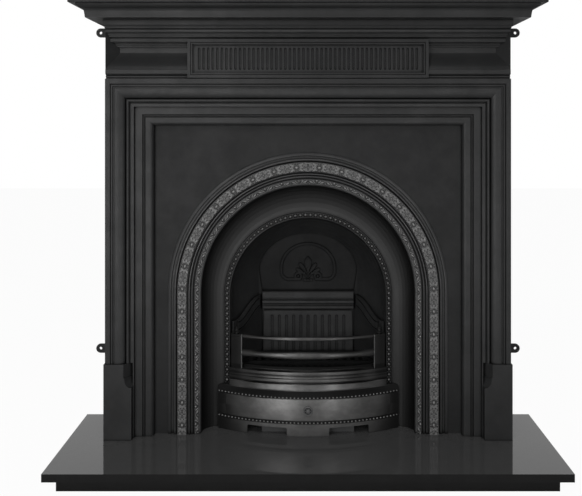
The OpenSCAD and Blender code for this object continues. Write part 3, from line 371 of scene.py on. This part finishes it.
FINISHES = {
    "hearth_plinth": granite, "hearth_slab": granite, "back_hearth": granite,
    "insert_panel": panel_iron, "arch_moulding": moulding_iron, "cove_reveal": cove_iron,
    "beaded_ring": ring_iron, "firebox_front": hearth_iron, "left_cheek": hearth_iron,
    "right_cheek": hearth_iron, "hood": hearth_iron, "throat_frame": deep_shade_iron,
    "register_plate": deep_shade_iron, "fireback": hearth_iron, "hob_lintel": hearth_iron,
    "bottom_grate": deep_shade_iron, "grate_front": bar_iron, "post_finials": bar_iron,
    "ash_cover": cover_iron, "cover_rosette": rosette_iron, "ash_pan": pan_iron,
    "pan_handle": fixing_steel, "register_pins": fixing_steel, "cheek_bolts": fixing_steel,
    "corner_plates": fixing_steel, "corner_bolts": fixing_steel, "shelf_brackets": fixing_steel,
    "bracket_bolts": fixing_steel, "panel_clips": fixing_steel, "clip_bolts": fixing_steel,
}
for name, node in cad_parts.items():
    node.data.materials.clear()
    node.data.materials.append(FINISHES.get(name, surround_iron))


# ------------------------------------------------------------------ relief drawn as heights
# The ornament is drawn in millimetres, each form as its height over the ground at a point.


def oval(x, y, cx, cy, rx, ry, top, turn=0.0):
    """Height of a low oval dome."""
    dx, dy = x - cx, y - cy
    c, s = math.cos(turn), math.sin(turn)
    u, v = (dx * c + dy * s) / rx, (dy * c - dx * s) / ry
    inside = 1.0 - u * u - v * v
    return top * math.sqrt(inside) if inside > 0 else 0.0


def folded(edge, depth, width):
    """Section of a lobe from its middle, 0, to its edge, 1, with a fold along the middle."""
    return math.sqrt(1.0 - edge * edge) * (1.0 - depth * math.exp(-(edge / width) ** 2))


def petal(x, y, root, tip, width, top, fold=0.35):
    """Height of a pointed leaf lobe from root to tip, with a fold along its middle."""
    dx, dy = tip[0] - root[0], tip[1] - root[1]
    length = math.hypot(dx, dy)
    ux, uy = dx / length, dy / length
    t = ((x - root[0]) * ux + (y - root[1]) * uy) / length
    if not 0.0 < t < 1.0:
        return 0.0
    across = abs((y - root[1]) * ux - (x - root[0]) * uy)
    half = width * math.sin(math.pi * t ** 0.75) ** 0.7
    if half <= 0.0 or across >= half:
        return 0.0
    return top * folded(across / half, fold, 0.22)


def ring(x, y, cx, cy, radius, half, top, squash=1.0):
    """Height of a raised ring."""
    return strap(math.hypot(x - cx, (y - cy) / squash) - radius, half, top)


def strap(across, half, top):
    """Height of a round bar at a distance across it."""
    off = abs(across) / half
    return top * math.sqrt(1.0 - off * off) if off < 1.0 else 0.0


LEAF_PITCH = 957.3 / 14.5    # 14 and a half repeats from the first boss to the top
LEAF_HALF = 13.2


def fan(x, y, root_x, reach, ribs, spread, top):
    """Height of a ribbed leaf that opens from a root towards the middle of the repeat."""
    dx, dy = root_x - x, y
    far = math.hypot(dx, dy)
    angle = math.atan2(dy, dx)
    if far < 0.5 or abs(angle) > spread:
        return 0.0
    rib = abs(math.cos(angle / spread * math.pi * ribs / 2))
    edge = reach * (0.84 + 0.16 * rib)
    if far >= edge:
        return 0.0
    swell = math.sin(math.pi * min(1.0, 0.25 + 0.75 * far / edge)) ** 0.4
    return top * swell * (0.1 + 0.9 * rib)


def leaf_height(x, y):
    """One repeat of the broad band: boss among four pearls, then curled leaves tied at mid
    pitch. x runs along the arch from the boss, and y across it towards the fire."""
    side, far_x = abs(y), abs(x)
    tie = LEAF_PITCH / 2
    parts = [oval(x, y, 0, 0, 6.4, 4.4, 4.8),
             ring(x, y, 0, 0, 9.4, 1.2, 2.2, 0.75),
             oval(far_x, side, 7.6, 8.9, 2.4, 2.4, 4.2),
             oval(x, side, 0, 10.4, 2.6, 1.6, 3.0),
             petal(far_x, side, (8.5, 3.5), (20.5, 12.4), 3.4, 3.2),
             petal(far_x, side, (9.5, 6.5), (14.5, 13.0), 1.8, 2.8),
             petal(far_x, side, (9.5, 0.8), (19.5, 3.2), 1.9, 2.6),
             fan(far_x, y, tie - 0.5, 20.5, 6, 1.7, 1.9),
             ring(far_x, side, tie - 7.0, 6.8, 3.6, 1.2, 3.0),
             oval(far_x, side, tie - 7.0, 6.8, 1.6, 1.6, 3.4),
             ring(far_x, side, tie - 16.0, 4.2, 3.4, 1.1, 3.0),
             oval(far_x, y, tie - 20.5, 0, 2.6, 2.2, 3.2),
             oval(far_x, side, tie - 1.5, 11.2, 3.6, 1.7, 3.2),
             oval(far_x, y, tie, 0, 1.5, 5.0, 3.4)]
    if far_x < tie - 6:
        parts.append(strap(y + 12.6, 0.8, 2.0))
    return max(parts)


SCROLL_PITCH = 50.7
SCROLL_HALF = 6.9


def scroll_height(x, y):
    """One repeat of the narrow band: a pearl, running leaves, and an edge strip by the cove."""
    far_x = abs(x)
    middle = SCROLL_PITCH / 2
    parts = [oval(x, y, 0, -3.4, 3.1, 3.1, 4.6),
             oval(far_x, y, 6.0, 2.2, 3.4, 1.5, 2.5, -0.5),
             petal(far_x, y, (4, 3.8), (13, -4.6), 1.7, 2.8),
             petal(far_x, y, (9, 4.4), (18, -2.6), 1.6, 2.5),
             petal(far_x, y, (14, 4.0), (23.5, -4.8), 1.7, 2.8),
             oval(far_x, y, middle, 2.6, 2.4, 1.6, 2.9),
             oval(far_x, y, middle, -3.4, 1.5, 2.4, 2.4),
             oval(far_x, y, 9.6, -4.9, 1.8, 1.2, 2.6)]
    if far_x < middle - 2:
        parts.append(strap(y - 6.0, 0.95, 2.2))
    return max(parts)


def scroll_lean(y):
    """The narrow band's ground falls towards the cove."""
    return -0.23 * y


BORDER_HALF = 84.5        # half width of the border's middle line on the damper
BORDER_RISE = 76.5
BORDER_CENTRE = 43.0      # height of its round top's centre over the palmette's foot
BORDER_FOOT = 6.5
BORDER_CORNER = 24.0
BORDER_END = 22.0         # where it runs into the scrolls
NOWHERE = 99.0            # further off than any form reaches

PLUME_WIDEST = 0.72       # how far along a plume is widest
PALMETTE_CREST = 4.6
PALMETTE_FULLNESS = 0.55  # under 1 rounds the forms up, so that they still read in the shade


def plume(x, y, root, tip, width, top):
    """Height of a round-ended leaf lobe, widest near its tip, with a fold along its middle."""
    dx, dy = tip[0] - root[0], tip[1] - root[1]
    length = math.hypot(dx, dy)
    t = ((x - root[0]) * dx + (y - root[1]) * dy) / length ** 2
    across = abs((y - root[1]) * dx - (x - root[0]) * dy) / length
    if not 0.0 < t < 1.0:
        return 0.0
    if t < PLUME_WIDEST:
        half = width * math.sin(math.pi / 2 * t / PLUME_WIDEST) ** 0.8
    else:
        half = width * math.sqrt(1.0 - ((t - PLUME_WIDEST) / (1.0 - PLUME_WIDEST)) ** 2)
    if across >= half:
        return 0.0
    return top * folded(across / half, 0.3, 0.25)


def border_line(x, y):
    """Distance from the damper's border line: a round top, straight sides, round corners and a
    level foot that ends at the scrolls."""
    side = abs(x)
    turn_x, turn_y = BORDER_HALF - BORDER_CORNER, BORDER_FOOT + BORDER_CORNER
    if y >= BORDER_CENTRE:
        beyond = math.hypot(side / BORDER_HALF, (y - BORDER_CENTRE) / BORDER_RISE) - 1
        return beyond * (BORDER_HALF + BORDER_RISE) / 2
    if y >= turn_y:
        return side - BORDER_HALF
    if side > turn_x:
        return math.hypot(side - turn_x, y - turn_y) - BORDER_CORNER
    return y - BORDER_FOOT if side > BORDER_END else NOWHERE


def palmette_height(x, y):
    """Palmette with two round scrolls and the border that runs out of them."""
    side = abs(x)
    parts = [plume(x, y, (0, 30), (0, 74), 12.5, 4.4),
             petal(x, y, (0, 46), (0, 79), 11.5, 4.8, 0.0),
             plume(side, y, (3.5, 26), (27, 58), 6.6, 4.2),
             plume(side, y, (6, 20), (38, 41), 6.2, 4.0),
             ring(side, y, 31, 16.5, 9.6, 4.2, 4.4),
             oval(side, y, 31, 16.5, 4.6, 4.6, 4.6),
             oval(side, y, 2.6, 22, 2.4, 17, 3.4),
             oval(side, y, 8.5, 22, 2.2, 12, 2.8, -0.25),
             oval(side, y, 10, 3.5, 6.5, 4.6, 3.6),
             oval(side, y, 0, 2.5, 4.5, 4.5, 3.6),
             strap(border_line(x, y), 4.8, 4.4)]
    return PALMETTE_CREST * (max(parts) / PALMETTE_CREST) ** PALMETTE_FULLNESS


SHEET_GROUND = 0.12      # the sheet's ground lies this far over the casting that carries it
SHEET_SKIRT = -0.5       # and its edge this far within


def store_relief(mesh, heights):
    """Keeps each point's height in millimetres for the finish, and smooths the faces."""
    stored = mesh.attributes.new("relief", "FLOAT", "POINT")
    stored.data.foreach_set("value", heights)
    mesh.polygons.foreach_set("use_smooth", [True] * len(mesh.polygons))
    return mesh


def relief_sheet(name, low, high, step, height, lean=None, trim=False):
    """A sheet of faces over a rectangle in millimetres, raised by height(x, y), with its edge
    sunk. lean(y) tilts its ground, and trim leaves only the raised parts."""
    across = max(2, round((high[0] - low[0]) / step))
    up = max(2, round((high[1] - low[1]) / step))
    grid, heights = [], []
    for j in range(up + 1):
        for i in range(across + 1):
            x = low[0] + (high[0] - low[0]) * i / across
            y = low[1] + (high[1] - low[1]) * j / up
            h = height(x, y)
            heights.append(h)
            sunk = j in (0, up) or (trim and h <= 0)
            z = (SHEET_SKIRT if sunk else max(h, SHEET_GROUND)) + (lean(y) if lean else 0.0)
            grid.append((x / 1000, y / 1000, z / 1000))
    faces = []
    for j in range(up):
        for i in range(across):
            a = j * (across + 1) + i
            corners = (a, a + 1, a + across + 2, a + across + 1)
            if not trim or max(heights[c] for c in corners) > 0:
                faces.append(corners)
    mesh = bpy.data.meshes.new(name)
    mesh.from_pydata(grid, [], faces)
    return store_relief(mesh, heights)


PEARL_FOOT = -25         # a pearl's lowest ring, in degrees under its middle


def pearl_mesh(name, along, across, up):
    """A pearl of few faces, from its three radii in millimetres."""
    mesh = bpy.data.meshes.new(name)
    points, polygons = [], []
    rings, sides = 4, 10
    for i in range(rings):
        lift = math.radians(PEARL_FOOT + 100 * i / (rings - 0.5))
        for j in range(sides):
            turn = 2 * math.pi * j / sides
            points.append((along * math.cos(lift) * math.cos(turn) / 1000,
                           across * math.cos(lift) * math.sin(turn) / 1000,
                           up * math.sin(lift) / 1000))
    points.append((0, 0, up / 1000))
    for i in range(rings - 1):
        for j in range(sides):
            a, b = i * sides + j, i * sides + (j + 1) % sides
            polygons.append((a, b, b + sides, a + sides))
    crown = (rings - 1) * sides
    polygons += [(crown + j, crown + (j + 1) % sides, len(points) - 1) for j in range(sides)]
    polygons.append(tuple(range(sides - 1, -1, -1)))
    mesh.from_pydata(points, [], polygons)
    return store_relief(mesh, [max(0.0, point[2] * 1000) for point in points])


# ------------------------------------------------------------------ ornament set along a path


PATH_SLACK = 0.0005      # what lies further before the path's start is cut off, in metres
SEAM = 0.00002           # neighbouring repeats are joined within this distance, in metres


def ornament_tree():
    """Repeats one motif in a straight row, bends the row along a path, and mirrors it if asked.
    The motif's x runs along the path, its y across it and its z out of the surface. On a bowed
    face the surface turns with the path, and otherwise it faces front."""
    group = bpy.data.node_groups.new("ornament along a path", "GeometryNodeTree")
    inputs = (("Motif", "NodeSocketGeometry"), ("Path", "NodeSocketObject"),
              ("Count", "NodeSocketInt"), ("Pitch", "NodeSocketFloat"),
              ("Start", "NodeSocketFloat"), ("Front", "NodeSocketVector"),
              ("Across", "NodeSocketVector"), ("Bowed", "NodeSocketBool"),
              ("Both sides", "NodeSocketBool"), ("Finish", "NodeSocketMaterial"))
    for name, kind in inputs:
        group.interface.new_socket(name, in_out="INPUT", socket_type=kind)
    group.interface.new_socket("Ornament", in_out="OUTPUT", socket_type="NodeSocketGeometry")
    tree = Tree(group.nodes, group.links)
    start = tree.node("NodeGroupInput")
    given = {name: start.out(name) for name, _ in inputs}

    def vector(operation, *values, **named):
        return tree.node("ShaderNodeVectorMath", {"operation": operation}, *values, **named)

    def either(kind, switch, off, on):
        return tree.node("GeometryNodeSwitch", {"input_type": kind}, switch, off, on)

    step = tree.node("ShaderNodeCombineXYZ", None, given["Pitch"])
    first = tree.node("ShaderNodeCombineXYZ", None, given["Start"])
    row = tree.node("GeometryNodeMeshLine", {"mode": "OFFSET", "count_mode": "TOTAL"},
                    Count=given["Count"], Start_Location=first, Offset=step)
    copies = tree.node("GeometryNodeInstanceOnPoints", None, Points=row, Instance=given["Motif"])
    straight = tree.node("GeometryNodeRealizeInstances", None, copies)
    along, side, out = tree.node("GeometryNodeInputPosition").split()
    kept = tree.node("GeometryNodeDeleteGeometry", {"domain": "POINT"}, straight,
                     along < -PATH_SLACK)
    path = tree.node("GeometryNodeObjectInfo", {"transform_space": "ORIGINAL"},
                     given["Path"], output="Geometry")
    centre = tree.node("GeometryNodeSampleCurve",
                       {"mode": "LENGTH", "use_all_curves": True, "data_type": "FLOAT"},
                       output="Position", Curves=path, Length=along)
    tangent = centre.out("Tangent")
    flat_across = vector("CROSS_PRODUCT", given["Front"], tangent)
    bowed_front = vector("CROSS_PRODUCT", tangent, given["Across"])
    across = either("VECTOR", given["Bowed"], flat_across, given["Across"])
    front = either("VECTOR", given["Bowed"], given["Front"], bowed_front)
    sideways = vector("SCALE", across, Scale=side)
    outward = vector("SCALE", front, Scale=out)
    bent = tree.node("GeometryNodeSetPosition", None, Geometry=kept,
                     Position=vector("ADD", vector("ADD", centre, sideways), outward))
    mirrored = tree.node("GeometryNodeTransform", None, Geometry=bent, Scale=(-1.0, 1.0, 1.0))
    turned = tree.node("GeometryNodeFlipFaces", None, mirrored)
    pair = tree.node("GeometryNodeJoinGeometry", None, turned)
    tree.feed(pair.socket.node.inputs[0], bent)
    chosen = either("GEOMETRY", given["Both sides"], bent, pair)
    whole = tree.node("GeometryNodeMergeByDistance", None, chosen, Distance=SEAM)
    real = tree.node("GeometryNodeRealizeInstances", None, whole)
    dressed = tree.node("GeometryNodeSetMaterial", None, Geometry=real, Material=given["Finish"])
    tree.end("NodeGroupOutput", dressed)
    return group


ORNAMENT = ornament_tree()


def path_curve(name, points):
    """A poly curve through points given in the frame."""
    curve = bpy.data.curves.new(name, "CURVE")
    curve.dimensions = "3D"
    spline = curve.splines.new("POLY")
    spline.points.add(len(points) - 1)
    for slot, point in zip(spline.points, points):
        slot.co = (*point, 1.0)
    path = bpy.data.objects.new(name, curve)
    bpy.context.scene.collection.objects.link(path)
    return path


LEG_STEPS = 12
CURVE_STEPS = 96


def arch_path(name, radius, centre, depth, foot=0.0):
    """Right half of an arch: up the leg from foot, then round to the top."""
    leg = [place(radius, depth, foot + (centre - foot) * i / LEG_STEPS)
           for i in range(LEG_STEPS)]
    turns = [math.pi / 2 * i / CURVE_STEPS for i in range(CURVE_STEPS + 1)]
    top = [place(radius * math.cos(turn), depth, centre + radius * math.sin(turn))
           for turn in turns]
    return path_curve(name, leg + top)


def arch_length(radius, centre, foot=0.0):
    """Length of that half, in millimetres."""
    return centre - foot + math.pi / 2 * radius


def bow_path(name, radius, z, half_width):
    """Level path along the bowed front, from left to right."""
    reach = math.asin(half_width / radius)
    turns = [reach * (2 * i / CURVE_STEPS - 1) for i in range(CURVE_STEPS + 1)]
    return path_curve(name, [place(radius * math.sin(turn),
                                   radius * math.cos(turn) - BOW_CENTRE, z) for turn in turns])


def run_ornament(name, motif, path, count, pitch, start, finish, body,
                 bowed=False, both=True):
    """Sets a motif along a path as one plain mesh riding on a body. The pitch, and where the
    first motif's middle lies along the path, are in millimetres."""
    carrier = bpy.data.objects.new(name, motif)
    bpy.context.scene.collection.objects.link(carrier)
    modifier = carrier.modifiers.new("row", "NODES")
    modifier.node_group = ORNAMENT
    values = {"Path": path, "Count": count, "Pitch": pitch / 1000, "Start": start / 1000,
              "Front": (0.0, -1.0, 0.0), "Across": (0.0, 0.0, 1.0), "Bowed": bowed,
              "Both sides": both, "Finish": finish}
    for item in ORNAMENT.interface.items_tree:
        if item.in_out == "INPUT" and item.name in values:
            modifier[item.identifier] = values[item.name]
    seen = carrier.evaluated_get(bpy.context.evaluated_depsgraph_get())
    mesh = bpy.data.meshes.new_from_object(seen)
    carrier.modifiers.clear()
    carrier.data = mesh
    mesh.name = name
    bpy.data.objects.remove(path)
    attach(carrier, body)


LEAF_COUNT = 15
LEAF_START = 26.0        # the first boss's height up the leg
leaf_tile = relief_sheet("leaf repeat", (-LEAF_PITCH / 2, -LEAF_HALF - 1.8),
                         (LEAF_PITCH / 2, LEAF_HALF), 1.15, leaf_height)
run_ornament("leaf_band", leaf_tile,
             arch_path("leaf path", LEAF_RADIUS, ARCH_CENTRE, LEAF_DEPTH), LEAF_COUNT,
             LEAF_PITCH, LEAF_START, leaf_iron, "fireplace")

# The narrow band's middle falls halfway between two pearls at the top of the arch.
scroll_tile = relief_sheet("scroll repeat", (-SCROLL_PITCH / 2, -SCROLL_HALF),
                           (SCROLL_PITCH / 2, SCROLL_HALF), 0.9, scroll_height, scroll_lean)
scroll_length = arch_length(SCROLL_RADIUS, ARCH_CENTRE)
scroll_count = round(scroll_length / SCROLL_PITCH - 0.5)
run_ornament("scroll_band", scroll_tile,
             arch_path("scroll path", SCROLL_RADIUS, ARCH_CENTRE, SCROLL_DEPTH),
             scroll_count + 1, SCROLL_PITCH, scroll_length - (scroll_count + 0.5) * SCROLL_PITCH,
             scroll_iron, "fireplace")

BEAD_PITCH = 15.2        # about; whole beads are fitted to the ring
bead_length = arch_length(BEAD_RADIUS, RING_CENTRE, RING_FOOT)
bead_count = int(bead_length / BEAD_PITCH)
run_ornament("ring_beads", pearl_mesh("ring bead", 4.0, 4.0, 4.4),
             arch_path("bead path", BEAD_RADIUS, RING_CENTRE, BEAD_DEPTH, RING_FOOT),
             bead_count + 1, bead_length / (bead_count + 0.5), 0.0, pearl_iron,
             "fireplace")
for row, radius in SEED_RADII:
    pitch = arch_length(radius, RING_CENTRE, RING_FOOT) / (bead_count + 0.5)
    run_ornament(row + "_ring_seeds", pearl_mesh("ring seed", 1.7, 1.4, 2.6),
                 arch_path("seed path", radius, RING_CENTRE, SEED_DEPTH, RING_FOOT), bead_count,
                 pitch, pitch / 2, pearl_iron, "fireplace")

COVER_BEADS = 50
cover_length = 2 * BOW_RADIUS * math.asin(COVER_BEAD_REACH / BOW_RADIUS)
for row, height in COVER_BEAD_HEIGHTS:
    run_ornament(row + "_cover_beads", pearl_mesh("cover bead", 3.4, 2.6, 3.4),
                 bow_path("cover path", BOW_RADIUS + 0.3, height, COVER_BEAD_REACH),
                 COVER_BEADS, cover_length / (COVER_BEADS - 1), 0.0, bead_iron,
                 "ash_cover_piece", bowed=True, both=False)

palmette = relief_sheet("palmette", (-92, -4), (92, 126), 1.15, palmette_height, trim=True)
palmette.transform(Matrix.Rotation(math.pi / 2, 4, "X"))
palmette.transform(Matrix.Translation(place(0, DAMPER_FACE, PALMETTE_FOOT)))
palmette.materials.append(deep_shade_iron)
palmette_piece = bpy.data.objects.new("damper_palmette", palmette)
bpy.context.scene.collection.objects.link(palmette_piece)
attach(palmette_piece, "damper")


# ------------------------------------------------------------------ studio


FLOOR_REACH = 9.0
FLOOR_LEVEL = -0.0006    # just under the plinth


def studio_floor():
    """Pale floor that looks white and keeps a soft shadow."""
    mesh = bpy.data.meshes.new("studio floor")
    corners = ((-1, -1), (1, -1), (1, 1), (-1, 1))
    mesh.from_pydata([(x * FLOOR_REACH, y * FLOOR_REACH, FLOOR_LEVEL) for x, y in corners],
                     [], [(0, 1, 2, 3)])
    material = bpy.data.materials.new("pale studio floor")
    material.use_nodes = True
    material.node_tree.nodes.clear()
    tree = Tree(material.node_tree.nodes, material.node_tree.links)
    matt = tree.node("ShaderNodeBsdfDiffuse", None, grey(0.8))
    white = tree.node("ShaderNodeEmission", None, grey(1.0), 1.0)
    seen = tree.node("ShaderNodeLightPath", output="Is Camera Ray")
    tree.end("ShaderNodeOutputMaterial",
             tree.node("ShaderNodeMixShader", None, seen * 0.96, matt, white))
    mesh.materials.append(material)
    floor = bpy.data.objects.new("studio_floor", mesh)
    bpy.context.scene.collection.objects.link(floor)


def studio_world():
    """White all round for the camera; for reflections and light, white behind the object and
    dim in front of it, where the lamps stand."""
    world = bpy.data.worlds.new("studio")
    bpy.context.scene.world = world
    world.use_nodes = True
    world.node_tree.nodes.clear()
    tree = Tree(world.node_tree.nodes, world.node_tree.links)
    _, back, up = tree.node("ShaderNodeTexCoord", output="Generated").split()
    behind = back.blend(0.0, 0.5, 0.0, 0.95)
    above = up.blend(-0.1, 0.9, 0.12, 0.30)
    seen = tree.node("ShaderNodeLightPath", output="Is Camera Ray")
    mirrored = behind * seen.out("Is Glossy Ray")
    tree.end("ShaderNodeOutputWorld",
             tree.node("ShaderNodeBackground", None, grey(1.0),
                       seen.most(mirrored.most(above))))


def softbox(name, x, y, z, aim, width, height, watts):
    """A large rectangular lamp turned towards a point of the object, in metres."""
    lamp = bpy.data.lights.new(name, "AREA")
    lamp.shape = "RECTANGLE"
    lamp.size, lamp.size_y = width, height
    lamp.energy = watts
    holder = bpy.data.objects.new(name, lamp)
    holder.location = (x, y, z)
    facing = Vector(aim) - holder.location
    holder.rotation_euler = facing.to_track_quat("-Z", "Y").to_euler()
    bpy.context.scene.collection.objects.link(holder)


studio_floor()
studio_world()
softbox("left softbox", -0.95, -2.3, 0.92, (0, 0, 0.55), 1.1, 1.7, 22)
softbox("right softbox", 1.0, -2.3, 0.92, (0, 0, 0.5), 0.9, 1.6, 8.2)
softbox("left strip", -0.71, -2.25, 0.5, (0, 0, 0.3), 0.16, 0.9, 3.2)
softbox("right strip", 0.69, -2.25, 0.5, (0, 0, 0.3), 0.16, 0.9, 2.6)
softbox("high softbox", -0.2, -1.9, 3.2, (0, 0, 1.1), 1.8, 0.8, 26)
softbox("low softbox", 0.0, -1.8, 0.25, (0, 0, 1.1), 1.4, 0.3, 5)

# The camera is level and square to the wall, as fitted to the hearth's four edges in the photo.
IMAGE_WIDTH = 582.0
FOCAL_LENGTH = 707.0     # this and the two shifts in the photo's pixels
SHIFT_RIGHT = -17.0
SHIFT_UP = -120.5
EYE_DEPTH = 2195.0
EYE_HEIGHT = 890.0
SENSOR_WIDTH = 36.0

lens = bpy.data.cameras.new("camera")
lens.sensor_fit = "HORIZONTAL"
lens.sensor_width = SENSOR_WIDTH
lens.lens = SENSOR_WIDTH * FOCAL_LENGTH / IMAGE_WIDTH
lens.shift_x = SHIFT_RIGHT / IMAGE_WIDTH
lens.shift_y = SHIFT_UP / IMAGE_WIDTH
lens.clip_end = 60.0
camera = bpy.data.objects.new("camera", lens)
camera.location = place(0, EYE_DEPTH, EYE_HEIGHT)
camera.rotation_euler = (math.pi / 2, 0, 0)
bpy.context.scene.collection.objects.link(camera)
bpy.context.scene.camera = camera
bpy.context.scene.view_settings.view_transform = "Standard"
